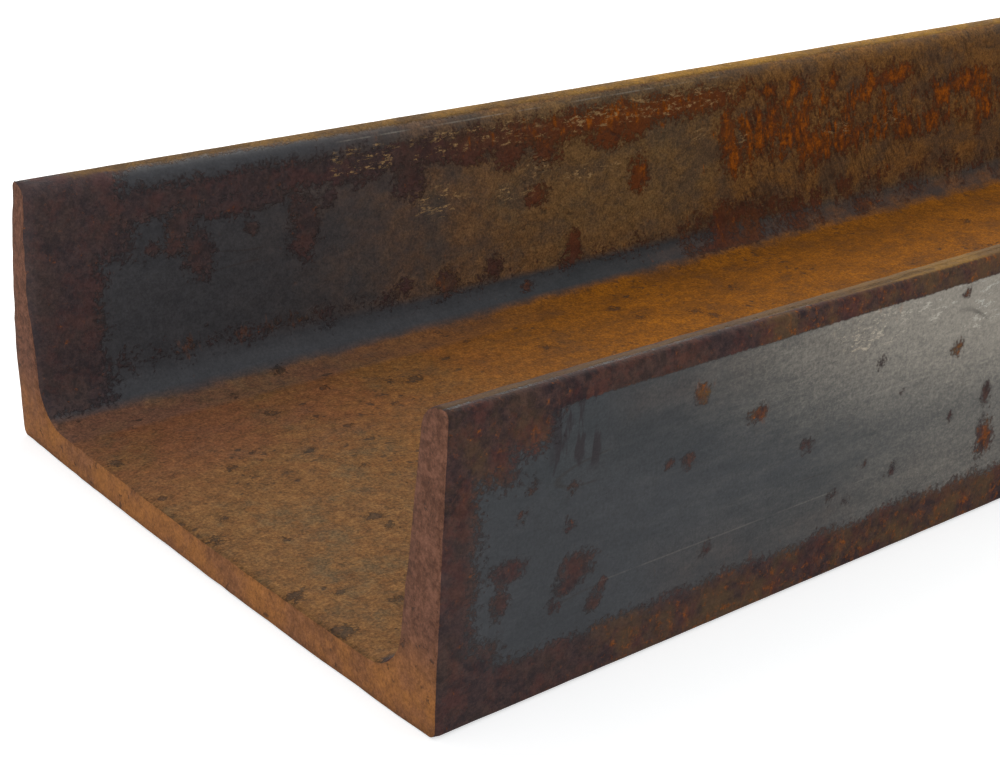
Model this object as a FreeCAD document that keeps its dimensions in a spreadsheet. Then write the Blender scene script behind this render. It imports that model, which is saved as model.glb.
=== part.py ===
"""Hot-rolled steel u-channel, 180 x 70 x 8, with tapered flanges, cut to a stock length.

The channel lies on its web with the flanges up. +X runs along the rolled length, +Y across the
web, +Z up along the flanges. The origin is under the middle of the web's back face.
All sizes are in millimetres and sit in the spreadsheet "Sizes".
"""

import FreeCAD, Part
import Sketcher
import os

from FreeCAD import Vector

# ---------------------------------------------------------------- driving dimensions
SIZES = [
    # alias, value, what it measures
    ("stock_length", 1000.0, "length the bar is cut to"),
    ("channel_height", 180.0, "outside to outside of the flanges, across the web"),
    ("flange_width", 70.0, "back of the web to the tip of a flange"),
    ("web_thickness", 8.0, "web"),
    ("flange_thickness", 11.0, "flange, measured halfway along its width"),
    ("inner_slope", 0.08, "slope of each flange's inner face, rise over run"),
    ("root_radius", 11.0, "inside corner between web and flange"),
    ("toe_radius", 5.5, "inner corner of each flange tip"),
    ("tip_edge_radius", 1.2, "outer corner of each flange tip"),
    ("heel_radius", 1.6, "outside corner between web and flange"),
]

doc = FreeCAD.newDocument("steel_u_channel")
sheet = doc.addObject("Spreadsheet::Sheet", "Sizes")
for row, (alias, value, meaning) in enumerate(SIZES, start=1):
    sheet.set(f"A{row}", meaning)
    sheet.set(f"B{row}", str(value))
    sheet.setAlias(f"B{row}", alias)
doc.recompute()


# ---------------------------------------------------------------- helpers
def origin_plane(body, role):
    """Return the body's own origin plane that has the given role."""
    return next(plane for plane in body.Origin.OriginFeatures if plane.Role == role)


def edges_along_length(shape, corners):
    """Name the straight edges of a shape that run along X through any of the (y, z) corners."""
    names = []
    for number, edge in enumerate(shape.Edges, start=1):
        start, end = edge.Vertexes[0].Point, edge.Vertexes[-1].Point
        if abs(start.y - end.y) > 1e-6 or abs(start.z - end.z) > 1e-6:
            continue
        if any(abs(start.y - y) < 1e-4 and abs(start.z - z) < 1e-4 for y, z in corners):
            names.append(f"Edge{number}")
    return names


def round_corners(body, name, corners, radius_alias):
    """Round the long edges at the given section corners, by a radius from the sheet."""
    base = body.Tip
    fillet = body.newObject("PartDesign::Fillet", name)
    fillet.Base = (base, edges_along_length(base.Shape, corners))
    fillet.setExpression("Radius", f"Sizes.{radius_alias}")
    body.Tip = fillet
    doc.recompute()
    return fillet


# ---------------------------------------------------------------- section
def section_corners():
    """The eight sharp corners of the section as (y, z), in order round the outline.

    A flange's thickness is measured halfway along its width, and its inner face leans by the
    slope, so the flange is thinner at its tip and thicker at the web.
    """
    half_height = sheet.channel_height / 2
    width = sheet.flange_width
    web = sheet.web_thickness
    tip_wall = sheet.flange_thickness - sheet.inner_slope * width / 2
    root_wall = sheet.flange_thickness + sheet.inner_slope * (width / 2 - web)
    right = [
        (half_height, 0.0),
        (half_height, width),
        (half_height - tip_wall, width),
        (half_height - root_wall, web),
    ]
    left = [(-y, z) for y, z in reversed(right)]
    return right + left


def draw_section(sketch):
    """Draw the sharp-cornered section, and tie every size of it to the sheet."""
    corners = section_corners()
    count = len(corners)
    for index, (y, z) in enumerate(corners):
        next_y, next_z = corners[(index + 1) % count]
        sketch.addGeometry(Part.LineSegment(Vector(y, z, 0), Vector(next_y, next_z, 0)), False)
    for index in range(count):
        sketch.addConstraint(Sketcher.Constraint("Coincident", index, 2, (index + 1) % count, 1))

    right_side, right_tip, _, web_top, _, left_tip, _, web_back = range(count)
    sketch.addConstraint(Sketcher.Constraint("PointOnObject", web_back, 1, -1))
    sketch.addConstraint(Sketcher.Constraint("Vertical", right_side))
    sketch.addConstraint(Sketcher.Constraint("Horizontal", right_tip))
    for start, end in (
        ((web_back, 1), (web_back, 2)),
        ((web_top, 1), (web_top, 2)),
        ((right_tip, 1), (left_tip, 2)),
        ((right_tip, 2), (left_tip, 1)),
    ):
        sketch.addConstraint(Sketcher.Constraint("Symmetric", *start, *end, -2))

    tip_wall = "Sizes.flange_thickness - Sizes.inner_slope * Sizes.flange_width / 2"
    root_wall = "Sizes.flange_thickness + Sizes.inner_slope * (Sizes.flange_width / 2 - Sizes.web_thickness)"
    sizes = [
        # name, constraint kind, geometry it holds, expression
        ("height", "Distance", (web_back,), "Sizes.channel_height"),
        ("width", "Distance", (right_side,), "Sizes.flange_width"),
        ("web", "DistanceY", (web_back, 2, web_top, 1), "Sizes.web_thickness"),
        ("tip", "Distance", (right_tip,), tip_wall),
        ("inside", "Distance", (web_top,), f"Sizes.channel_height - 2 * ({root_wall})"),
    ]
    half = sheet.channel_height / 2
    start_values = {
        "height": sheet.channel_height,
        "width": sheet.flange_width,
        "web": sheet.web_thickness,
        "tip": half - corners[2][0],
        "inside": 2 * corners[3][0],
    }
    for name, kind, geometry, expression in sizes:
        number = sketch.addConstraint(Sketcher.Constraint(kind, *geometry, start_values[name]))
        sketch.renameConstraint(number, name)
        sketch.setExpression(f"Constraints.{name}", expression)


# ---------------------------------------------------------------- the channel, one rolled piece
body = doc.addObject("PartDesign::Body", "Channel")
body.Label = "u_channel"

sketch = body.newObject("Sketcher::SketchObject", "Section")
sketch.AttachmentSupport = [(origin_plane(body, "YZ_Plane"), "")]
sketch.MapMode = "FlatFace"
doc.recompute()
draw_section(sketch)
doc.recompute()

bar = body.newObject("PartDesign::Pad", "RolledLength")
bar.Profile = sketch
bar.SideType = "Symmetric"
bar.setExpression("Length", "Sizes.stock_length")
body.Tip = bar
doc.recompute()

corners = section_corners()
heels = [corners[0], corners[7]]
tip_edges = [corners[1], corners[6]]
toes = [corners[2], corners[5]]
roots = [corners[3], corners[4]]
round_corners(body, "RootFillets", roots, "root_radius")
round_corners(body, "ToeFillets", toes, "toe_radius")
round_corners(body, "TipEdges", tip_edges, "tip_edge_radius")
round_corners(body, "Heels", heels, "heel_radius")
doc.recompute()

# ---------------------------------------------------------------- checks and files
for item in doc.Objects:
    if "Invalid" in item.State or "Error" in item.State:
        raise RuntimeError(f"{item.Name} did not compute: {item.State}")
shape = body.Shape
if shape.isNull() or not shape.isValid() or len(shape.Solids) != 1:
    raise RuntimeError(f"{body.Label} is not one valid solid")

os.makedirs("parts", exist_ok=True)
shape.exportStep(f"parts/{body.Label}.step")

box = shape.BoundBox
section_area = shape.Volume / sheet.stock_length
print(f"{body.Label}: {box.XLength:.1f} x {box.YLength:.1f} x {box.ZLength:.1f} mm")
print(f"section {section_area / 100:.2f} cm2, fully constrained: {sketch.FullyConstrained}")
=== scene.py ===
# %% [markdown]
# # A rusty steel u-channel
# A u-channel is one bar of hot-rolled steel: a flat web with a tapered flange along each side.
# The steel leaves the rolls with a blue-grey skin of mill scale, and brown and orange rust creeps
# in from the edges, from the cut ends and through every break in that skin.
# The shape is one mesh made with bmesh. Where each kind of rust lies is painted on that mesh as
# soft numbers, and the materials turn those numbers into ragged, grainy edges.
#
# The steps are the camera, the section, the bar, its cut ends, the relief of its rolled faces, the
# coats of rust painted on it, the materials, and the floor and the light.

import math
import random

import bmesh
import bpy
import numpy as np
from mathutils import Matrix, Vector, noise


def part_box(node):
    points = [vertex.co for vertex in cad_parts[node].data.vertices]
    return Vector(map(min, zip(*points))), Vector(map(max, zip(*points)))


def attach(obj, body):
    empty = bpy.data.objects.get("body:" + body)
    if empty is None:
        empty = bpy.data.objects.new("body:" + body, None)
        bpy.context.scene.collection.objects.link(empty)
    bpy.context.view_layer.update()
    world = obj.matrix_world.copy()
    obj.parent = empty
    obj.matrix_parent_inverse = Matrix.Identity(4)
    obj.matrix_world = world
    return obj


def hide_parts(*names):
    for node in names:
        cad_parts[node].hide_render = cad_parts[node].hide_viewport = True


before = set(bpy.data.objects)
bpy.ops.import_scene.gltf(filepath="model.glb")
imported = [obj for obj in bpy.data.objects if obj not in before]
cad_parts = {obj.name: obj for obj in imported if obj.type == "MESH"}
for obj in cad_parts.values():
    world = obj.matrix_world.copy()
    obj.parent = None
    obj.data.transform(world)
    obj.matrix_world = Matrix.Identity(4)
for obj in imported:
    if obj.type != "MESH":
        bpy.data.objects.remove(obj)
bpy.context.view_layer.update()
low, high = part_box("u_channel")
print("channel box in metres:", tuple(low), tuple(high))

# %% [markdown]
# ## Sizes
# Everything is worked out from the box of the part and from the few sizes of a rolled section
# that a box can't show: the web, the flange halfway along its width, the slope inside, the radii.

# %% Section sizes in metres
MM = 0.001
LENGTH = high.x - low.x
HALF_HEIGHT = high.y
WIDTH = high.z
WEB = 8.0 * MM
FLANGE = 11.0 * MM
SLOPE = 0.08
ROOT_RADIUS = 11.0 * MM
TOE_RADIUS = 5.5 * MM
TIP_EDGE_RADIUS = 1.2 * MM
HEEL_RADIUS = 1.6 * MM
CUT_END = low.x
print("length", round(LENGTH, 4), "height", round(2 * HALF_HEIGHT, 4), "width", round(WIDTH, 4))

# %% [markdown]
# ## Camera
# The camera comes first, so that every later look is judged from the same place. It stands
# close to one cut end, a little above the flanges, and looks along the bar to the far right.
# A close camera with a fairly short lens makes the two flanges run together quickly, which is
# what gives the bar its length. Heading, tilt and roll are easier to adjust than a target.

# %% Camera
EYE_FROM_CUT = Vector((-0.1705, -0.3208, 0.2001))
HEADING = math.radians(38.96)
TILT = math.radians(-22.97)
ROLL = math.radians(1.67)
LENS = 62.8


def place_camera():
    """Stand the camera near the cut end, and turn it by heading, tilt and roll."""
    data = bpy.data.cameras.new("camera")
    data.sensor_width = 36
    data.lens = LENS
    data.clip_start = 0.01
    camera = bpy.data.objects.new("camera", data)
    forward = Vector((
        math.sin(HEADING) * math.cos(TILT),
        math.cos(HEADING) * math.cos(TILT),
        math.sin(TILT),
    ))
    turn = forward.to_track_quat("-Z", "Y").to_matrix().to_4x4()
    eye = Vector((CUT_END, 0, 0)) + EYE_FROM_CUT
    camera.matrix_world = Matrix.Translation(eye) @ turn @ Matrix.Rotation(ROLL, 4, "Z")
    bpy.context.scene.collection.objects.link(camera)
    bpy.context.scene.camera = camera
    return camera


camera = place_camera()
print("camera at", tuple(round(v, 3) for v in camera.matrix_world.translation))

# %% [markdown]
# ## The section
# The section could be eight corners and some bevels, but its cut face would then be one large
# polygon that can't be roughened. Here it is a strip instead: a flat grid, bent into the shape
# of the section. One long side of the grid becomes the outside of the channel, the other the
# inside, and the few rows between them run through the steel, so the cut end has points of its
# own. Both sides are walked with the same steps, corner for corner.

# %% Walk the outside and the inside of the section
LAYERS = 4
TIP_STEPS, FLANGE_STEPS, CORNER_STEPS, HALF_WEB_STEPS = 4, 30, 6, 27
LEAN = math.atan(SLOPE)


def wall_at(z):
    """Thickness of a flange at a height above the back of the web."""
    return FLANGE + SLOPE * (WIDTH / 2 - z)


def arc(centre, radius, start, end, steps):
    """Points on an arc in the section, from one angle to another, without the first."""
    angles = np.linspace(start, end, steps + 1)[1:]
    return [(centre[0] + radius * math.cos(a), centre[1] + radius * math.sin(a)) for a in angles]


def line(start, end, steps):
    """Evenly spaced points from start to end, without the first."""
    return [tuple(np.array(start) + (np.array(end) - start) * k / steps) for k in range(1, steps + 1)]


def outer_half():
    """Tip, side, heel and back, as far as the middle of the web."""
    side, edge, heel = HALF_HEIGHT, TIP_EDGE_RADIUS, HEEL_RADIUS
    path = [(side - edge, WIDTH)]
    path += arc((side - edge, WIDTH - edge), edge, math.pi / 2, 0, TIP_STEPS)
    path += line(path[-1], (side, heel), FLANGE_STEPS)
    path += arc((side - heel, heel), heel, 0, -math.pi / 2, CORNER_STEPS)
    return path + line(path[-1], (0, 0), HALF_WEB_STEPS)


def inner_half():
    """Toe, sloping inner face, root and web, as far as the middle of the web."""
    def on_face(radius, z):
        """Centre of a round that touches the sloping face from inside the trough or the steel."""
        return HALF_HEIGHT - wall_at(z) + radius / math.cos(LEAN)

    toe_z = WIDTH - TOE_RADIUS
    toe = (on_face(TOE_RADIUS, toe_z), toe_z)
    root_z = WEB + ROOT_RADIUS
    root = (on_face(-ROOT_RADIUS, root_z), root_z)
    path = [(toe[0], WIDTH)]
    path += arc(toe, TOE_RADIUS, math.pi / 2, math.pi - LEAN, TIP_STEPS)
    start_of_root = (root[0] + ROOT_RADIUS * math.cos(-LEAN), root[1] + ROOT_RADIUS * math.sin(-LEAN))
    path += line(path[-1], start_of_root, FLANGE_STEPS)
    path += arc(root, ROOT_RADIUS, -LEAN, -math.pi / 2, CORNER_STEPS)
    return path + line(path[-1], (0, WEB), HALF_WEB_STEPS)


def whole(half):
    """The half path, and its mirror image back up to the other tip."""
    return half + [(-y, z) for y, z in reversed(half[:-1])]


outside, inside = whole(outer_half()), whole(inner_half())
print("points along the section:", len(outside), len(inside))

# %% [markdown]
# ## From strip to bar
# The grid is bent by looking up each point's place along the walk and between the two sides.
# Both numbers are kept on the points as layers, so later steps know where on the section they
# are. One extrusion makes the whole bar, and cutting its long edges gives it rings of points.
# The rings stand closer at the near end, where the eye comes close.

# %% Bend the grid, extrude it and cut the long edges
RINGS = 352
RING_BIAS = 0.42


def bent_strip(bm):
    """A grid bent into the cut face at the near end, with its place kept in two layers."""
    walk_layer = bm.verts.layers.float.new("walk")
    depth_layer = bm.verts.layers.float.new("depth")
    bmesh.ops.create_grid(bm, x_segments=len(outside) - 1, y_segments=LAYERS, size=0.5)
    for vert in bm.verts:
        station = round((vert.co.x + 0.5) * (len(outside) - 1))
        depth = vert.co.y + 0.5
        y, z = (np.array(outside[station]) * (1 - depth) + np.array(inside[station]) * depth)
        vert[walk_layer], vert[depth_layer] = station, depth
        vert.co = (CUT_END, y, z)


def make_bar():
    """Extrude the strip to length, and cut the long edges into rings."""
    bm = bmesh.new()
    bent_strip(bm)
    pushed = bmesh.ops.extrude_face_region(bm, geom=bm.faces[:], use_keep_orig=True)
    moved = [item for item in pushed["geom"] if isinstance(item, bmesh.types.BMVert)]
    bmesh.ops.translate(bm, vec=(LENGTH, 0, 0), verts=moved)
    long_edges = [e for e in bm.edges if abs(e.verts[0].co.x - e.verts[1].co.x) > LENGTH / 2]
    bmesh.ops.subdivide_edges(bm, edges=long_edges, cuts=RINGS - 1, use_grid_fill=True)
    bmesh.ops.recalc_face_normals(bm, faces=bm.faces)
    for vert in bm.verts:
        share = (vert.co.x - CUT_END) / LENGTH
        vert.co.x = CUT_END + LENGTH * ((1 - RING_BIAS) * share + RING_BIAS * share * share)
    return bm


bar = make_bar()
print("bar:", len(bar.verts), "points,", len(bar.faces), "faces, open edges:",
      sum(1 for e in bar.edges if not e.is_manifold))

# %% [markdown]
# ## Cut ends
# Stock is sawn hot or cut with a torch, so its ends are not true planes. The near one leans a
# little, swells out in the middle of the web and of the far flange, and its rim is softened and
# nibbled. All of this fades out within a hand's width, by sliding the rings along the bar, so
# the rolled faces stay straight. The rim itself is drawn in towards the middle of the steel.

# %% Read the bar's points as arrays
def smooth(start, end, value):
    """0 at start, 1 at end, with a soft curve between; start may be the larger."""
    share = np.clip((value - start) / (end - start), 0, 1)
    return share * share * (3 - 2 * share)


def wander(points, size, seed):
    """Soft noise from about -1 to 1, whose lumps are as large as size (one number or three)."""
    scaled = points / np.array(size) + seed * 7.31
    return np.array([noise.noise(Vector(p)) for p in scaled])


bar.verts.index_update()
place = np.array([vert.co for vert in bar.verts])
walk = np.array([vert[bar.verts.layers.float["walk"]] for vert in bar.verts]).round().astype(int)
depth = np.array([vert[bar.verts.layers.float["depth"]] for vert in bar.verts])
along = place[:, 0] - CUT_END
across, up = place[:, 1], place[:, 2]
print("points read:", len(place))

# %% Lean, swell and nibble the ends
LEAN_ACROSS, LEAN_UP = -0.0246, 0.0341
SWELL_WEB, SWELL_FLANGE = 1.5 * MM, 1.3 * MM
FADE = 45 * MM
outer_walk, inner_walk = np.array(outside), np.array(inside)


def end_shape(seed, strength):
    """How far each point's end stands out along the bar, from its place on the section."""
    section = place * (0, 1, 1)
    swell = SWELL_WEB * (1 - (across / HALF_HEIGHT) ** 2) * smooth(0.02, 0.0, up)
    on_far = smooth(0.07, 0.08, across)
    swell += on_far * SWELL_FLANGE * np.sin(np.clip(up / WIDTH, 0, 1) * math.pi)
    rough = 0.16 * MM * wander(section, 0.014, seed) + 0.12 * MM * wander(section, 0.004, seed + 1)
    return strength * swell + rough


def soften_rim(at_end, seed, curl):
    """Draw the rim of a cut end in from both sides, more where a side has curled over."""
    rows = np.flatnonzero(at_end)
    section = place[rows] * (0, 1, 1)
    nibble = 0.10 * MM * wander(section, 0.006, seed) + 0.14 * MM * wander(section, 0.0025, seed + 2)
    outer_cut = 0.30 * MM + nibble + 0.25 * curl[rows] * (wander(section, 0.0035, seed + 4) > 0.1)
    inner_cut = 0.45 * MM + nibble + curl[rows]
    start, end = outer_walk[walk[rows]], inner_walk[walk[rows]]
    wall = np.linalg.norm(end - start, axis=1)
    share = outer_cut / wall + depth[rows] * (1 - (outer_cut + inner_cut) / wall)
    place[rows, 1:] = start + (end - start) * share[:, None]


near_end = along < 1e-6
far_end = along > LENGTH - 1e-6
ragged_curl = 1.0 + 0.5 * wander(place * (0, 1, 1), 0.006, 5) + 0.45 * wander(place * (0, 1, 1), 0.003, 6)
curl = 1.9 * MM * smooth(0.025, 0.045, up) * smooth(0.06, 0.07, across) * ragged_curl
soften_rim(near_end, 11, curl)
soften_rim(far_end, 17, curl * 0)
lean = LEAN_ACROSS * across + LEAN_UP * up
place[:, 0] += (lean - end_shape(3, 1.0)) * smooth(FADE, 0, along)
place[:, 0] += end_shape(8, 0.4) * smooth(FADE, 0, LENGTH - along)
print("near end runs from", place[near_end, 0].min().round(4), "to", place[near_end, 0].max().round(4))

# %% [markdown]
# ## Rolled faces
# Rolled steel is flat only from a distance. Worn rolls leave long shallow waves, and rust lifts
# the skin into small blisters. Points are pushed along their own normals by noise that is
# stretched along the bar for the waves, and fine and round for the blisters.

# %% Push the rolled faces by fine relief
def normals_of(bm):
    """The direction in which each point faces, away from the steel."""
    bm.normal_update()
    return np.array([vert.normal for vert in bm.verts])


def set_places(bm):
    """Move every point of the bar to its place in the array."""
    for vert, co in zip(bm.verts, place):
        vert.co = co


set_places(bar)
rolled = ~(near_end | far_end)
waves = 0.10 * MM * wander(place, (0.14, 0.022, 0.022), 21)
ripple = 0.05 * MM * wander(place, (0.03, 0.008, 0.008), 22)
blisters = (0.05 + 0.09 * (depth > 0.99)) * MM * wander(place, 0.0065, 23)
place += normals_of(bar) * ((waves + ripple + blisters) * rolled)[:, None]
place[:, 2] = np.maximum(place[:, 2], -0.1 * MM)
set_places(bar)
print("relief pushed, lowest point", place[:, 2].min().round(6))

# %% [markdown]
# ## Where the rust lies
# A coat is a number on every point: 0 where there is none, 1 where it is sure, and its edge lies
# at a half. Such numbers could be painted by hand in a brush mode, but formulas give the same bar
# each time. Bands follow the edges and the ends, and spots are placed in millimetres, from the
# near end and across the face.
#
# The coats are:
# - rust, the heavy dark kind, and orange, the fresh blooms in it
# - film, the thin brown kind, and rich, ruddy and weathered, three turns of its colour; the
#   weathered turn, on film and rust, is partly painted light: paler further along the far face
# - a greyer, paler tone near the cut end, and tan, the rubbed tips of the flanges
# - a painted sheen, scale painted pale as a highlight, and glint, painted highlight lines on it
# - specks, flecks, dashes and slants, small marks: dark, pale, upright and leaning; some of the
#   pale flecks are painted glints

# %% Faces and coats
from_end = (place[:, 0] - CUT_END) / MM
y_mm, z_mm = across / MM, up / MM
LENGTH_MM = LENGTH / MM
is_outer, is_inner = depth < 0.01, depth > 0.99
FACES = {
    "near side": (is_outer & (y_mm < -86), z_mm),
    "far side": (is_outer & (y_mm > 86), z_mm),
    "near inside": (is_inner & (y_mm < -60), z_mm),
    "far inside": (is_inner & (y_mm > 60), z_mm),
    "web top": (is_inner & (z_mm < 12), y_mm),
    "web back": (is_outer & (z_mm < 1), y_mm),
}
COATS = (
    "rust", "specks", "weathered_and_lit", "greying", "film", "rich", "ruddy", "orange", "tan",
    "dashes", "slants", "flecks", "painted_sheen", "glint",
)
coats = {name: np.zeros(len(place)) for name in COATS}
print("points on each face:", {name: int(on_face.sum()) for name, (on_face, _) in FACES.items()})

# %% Lay a coat, a spot or a band on a face
def lay(coat, face, amount):
    """Add an amount to a coat on one face, wherever it is more than what lies there."""
    on_face = FACES[face][0]
    coats[coat] = np.where(on_face, np.maximum(coats[coat], amount), coats[coat])


def spot(coat, face, x, v, long, wide, strength=1.0):
    """A soft round or long spot whose edge is at the given half-length and half-width."""
    distance = np.hypot((from_end - x) / long, (FACES[face][1] - v) / wide)
    lay(coat, face, strength * np.clip(1 - 0.5 * distance, 0, 1))


def spots(coat, face, rows, strength=1.0):
    """Several spots: each row is a place, a half-length, a half-width and maybe a strength."""
    for row in rows:
        spot(coat, face, *row[:4], *(row[4:] or (strength,)))


def band(coat, face, low_v, high_v, soft=4.0, start=-50, end=2000, strength=1.0):
    """A soft band along the bar between two heights, from one distance to another."""
    v = FACES[face][1]
    reach = np.minimum(v - low_v, high_v - v)
    reach = np.minimum(reach, np.minimum(from_end - start, end - from_end))
    lay(coat, face, strength * np.clip(0.5 + 0.5 * reach / soft, 0, 1))


def print_cover(face):
    """Print the share of a face that each coat covers."""
    on_face = FACES[face][0]
    cover = {name: round(float((amount[on_face] > 0.5).mean()), 3) for name, amount in coats.items()}
    print(face, {name: share for name, share in cover.items() if share > 0})

# %% [markdown]
# ## The near flange
# Its outside kept most of its scale. Rust has come in from the cut end, along the tip and along
# the heel, and has broken through in spots. Further along, the scale is painted paler as a sheen,
# a painted highlight broken by a fine texture, with pale flecks and thin lines of painted glints.

# %% Near side: rust from the edges
band("rust", "near side", 66, 80, 1.0, strength=3)
band("rust", "near side", -10, 12, 3.5)
band("rust", "near side", -10, 80, 5.0, end=11.5)
band("rust", "near side", 53, 80, 6.0, end=20)
band("rust", "near side", 58, 80, 5.0, end=31)
band("rust", "near side", -10, 17, 5.0, end=17)
band("orange", "near side", 54, 66, 6.0, start=8, end=32, strength=0.22)
band("orange", "near side", -10, 12, 5.0, start=45, strength=0.36)
band("orange", "near side", 62, 75, 5.0, start=85, strength=0.34)
band("dashes", "near side", 50, 66, 4.0, start=30, end=43)
print_cover("near side")

# %% Near side: spots
spots("rust", "near side", (
    (19.5, 32.5, 4.6, 2.4), (17.5, 25.5, 2.6, 2.8), (37.5, 28, 4.2, 3.4), (35, 24.5, 3, 2.2),
    (32, 20.5, 1.6, 1.3), (42.5, 17.5, 1.8, 1.8), (45, 21.5, 1.3, 1.6), (67.5, 43.5, 1.9, 1.7),
    (155, 48.5, 2.2, 2.2), (156, 62.5, 1.8, 1.6), (171, 21.5, 3, 5), (169, 33.5, 1.8, 3),
    (88, 49, 3.6, 1.8), (70.5, 58, 2.3, 2.1),
))
spots("rust", "near side", (
    (35.5, 38, 1.9, 1.7), (35.5, 46, 1.8, 1.6), (23, 43.5, 1.8, 1.5), (25, 49, 1.7, 1.5),
    (62, 44, 1.4, 1.2), (136, 22.5, 1.6, 1.8), (156, 30.5, 1.6, 1.7), (120, 18.5, 2, 1.6),
    (127, 51.5, 1.6, 1.3), (104, 37, 2.4, 2), (115, 21.5, 2.2, 1.6), (75, 20, 1.8, 1.4),
    (136, 42.5, 1.4, 1.2), (125, 26, 1.4, 1.2),
), 0.8)
spots("orange", "near side", (
    (70.5, 58, 2.6, 2.4, 1.0), (88, 49, 4.2, 2.2, 0.55), (155, 48.5, 2.2, 2, 0.75),
    (171, 21.5, 3, 5, 0.75),
))
print_cover("near side")

# %% Near side: painted sheen, a greyer tone, flecks and painted glint lines
# The sheen laid here is a painted highlight: the scale is painted paler, in patches, where light glances
# off it further along the near side, and a little on the far side.
sheen_patches = 0.58 + 0.4 * wander(place, (0.11, 0.02, 0.02), 47)
spot("painted_sheen", "near side", 210, 70, 82, 27, 1.55)
lay("painted_sheen", "near side", 0.12 * smooth(40, 90, from_end) + 0.29 * smooth(90, 165, from_end))
lay("painted_sheen", "near side", sheen_patches * smooth(210, 280, from_end))
lay("painted_sheen", "far side", 0.5 * sheen_patches * smooth(60, 200, from_end))
# A greyer, paler tone low on the near side, close to the cut end.
lay("greying", "near side", 0.35 * smooth(120, 50, from_end) * smooth(52, 40, z_mm))
# The pale flecks in the sheen are painted glints.
spots("flecks", "near side", ((124, 60, 9, 4), (117, 62, 6, 2), (150, 61, 16, 3), (163, 57, 8, 4)), 1.2)
# Thin bright lines at two heights: painted highlight lines.
band("glint", "near side", 20, 25, 3.0, start=45, end=135, strength=0.3)
band("glint", "near side", 41, 47, 3.0, start=122, strength=0.5)
band("film", "near side", 10, 24, 10.0, start=60, strength=0.16)
band("film", "near side", 52, 70, 10.0, start=45, end=125, strength=0.14)
print_cover("near side")

# %% [markdown]
# ## The web
# Its upper side holds water, so an even film covers it. A few dark specks of scale still cling
# there, and the film turns ruddy near the cut end on the far half.

# %% Web top: dark specks and a ruddy share
CLINGING = (
    (50, 48, 3), (94, 45, 3.5), (47, 63, 2.4), (70, 55, 2.4), (88, 48, 2.4), (66, 70, 3), (58, 40, 2),
    (76, 62, 2), (178, 55, 3), (180, 45, 3), (198, 39, 3.5), (201, 33, 3), (223, 48, 3), (347, 50, 3),
    (110, 52, 2.6), (124, 60, 2.4), (15, -14, 2.2), (38, -17, 3), (39, -23, 3), (24, 25, 2.2),
    (26, 18, 1.8), (33, 30, 2), (45, 22, 2), (62, 30, 2.2), (2, 44, 3), (2, 20, 2.4), (2, -6, 3),
    (3, -38, 3.4), (3, -56, 4), (12, -42, 2.2), (20, -52, 2.6), (28, -46, 2), (30, -58, 2.4),
    (9, 3, 1.8), (52, 8, 2), (80, 34, 2.2), (140, 42, 2.4),
)
for x, v, size in CLINGING:
    spot("specks", "web top", x, v, 0.7 * size, 0.55 * size)
lay("ruddy", "web top", 0.6 * smooth(0, 50, y_mm) * smooth(190, 70, from_end))
print(len(CLINGING), "specks laid")
print_cover("web top")

# %% [markdown]
# ## The far flange
# Its inside changes most along the bar. Close to the cut end it is heavy rust, then blue scale
# under a greyer tone, then an olive film with rust along the toe; further along, its film and rust
# are painted paler, partly as painted light where more light falls. A quarter of a metre on, water
# has run down it, and there are tall orange blooms with fine leaning strokes between them.

# %% Far inside, near the cut end: rust
band("rust", "far inside", 9, 80, 6.0, end=17)
band("rust", "far inside", 48, 80, 6.0, end=27)
band("rust", "far inside", 56.5, 65.0, 4.0, end=250, strength=0.9)
spots("rust", "far inside", (
    (30, 59, 12, 3), (42, 53, 4.5, 4.5), (46.5, 45, 4.5, 6.5), (40, 47, 3, 2.2), (33.5, 48, 2.2, 1.9),
    (64, 48.5, 2.2, 2), (81, 47, 4.5, 9), (80, 41, 4.5, 3.2), (60, 56, 14, 3), (90, 53, 2, 3),
    (118, 54, 5, 6), (120, 49, 2, 2), (140, 58, 8, 3), (154, 55, 5, 4), (170, 56, 6, 5),
    (196, 56, 9, 4), (208, 57, 5, 4), (166, 41, 4.5, 3), (209, 41, 4.5, 5.5), (130, 20, 5, 3.6),
    (148, 21, 3, 3.2), (181, 22, 2.6, 4.6), (115, 22, 2.2, 2.4), (160, 13.5, 2.2, 1.6),
    (100, 55, 2, 1.5),
))
band("rust", "far inside", 16, 22, 4.0, start=16, end=110, strength=0.52)
band("rust", "far inside", 15, 20, 4.0, start=100, end=LENGTH_MM, strength=0.46)
spots("orange", "far inside", (
    (166, 41, 4, 3, 0.25), (209, 41, 4, 5, 0.32), (130, 20, 5, 3, 0.35), (61, 20, 6, 3, 0.5),
    (42, 20, 4, 3, 0.45), (78, 20, 4, 2, 0.4), (205, 61, 45, 4, 0.5),
))
print_cover("far inside")

# %% Far inside, near the cut end: flecks, a painted glint line, a weathered turn that is partly painted light, and a greyer tone
on_toe = smooth(57, 60, z_mm) * smooth(67, 64, z_mm)
lay("flecks", "far inside", on_toe * smooth(80, 96, from_end) * smooth(275, 235, from_end))
spots("flecks", "far inside", (
    (128, 45, 11, 5), (155, 43, 10, 3), (165, 50, 6, 3), (190, 45, 13, 2.5), (234, 50, 8, 2),
    (258, 45, 6, 3), (322, 42, 26, 3),
), 0.9)
# A painted highlight line along the toe.
band("glint", "far inside", 60, 80, 2.0, start=95, end=245, strength=0.5)
# Further along and higher up, film and rust are painted paler and warmer: partly a weathered colour, partly
# painted light where more light falls on the far face.
weathering_and_light = 0.35 + 0.65 * np.maximum(smooth(14, 32, z_mm), 0.4 * smooth(225, 265, from_end))
lay("weathered_and_lit", "far inside", smooth(90, 210, from_end) * weathering_and_light)
# A greyer, paler tone close to the cut end.
lay("greying", "far inside", 0.8 * smooth(190, 90, from_end))
print_cover("far inside")

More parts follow.
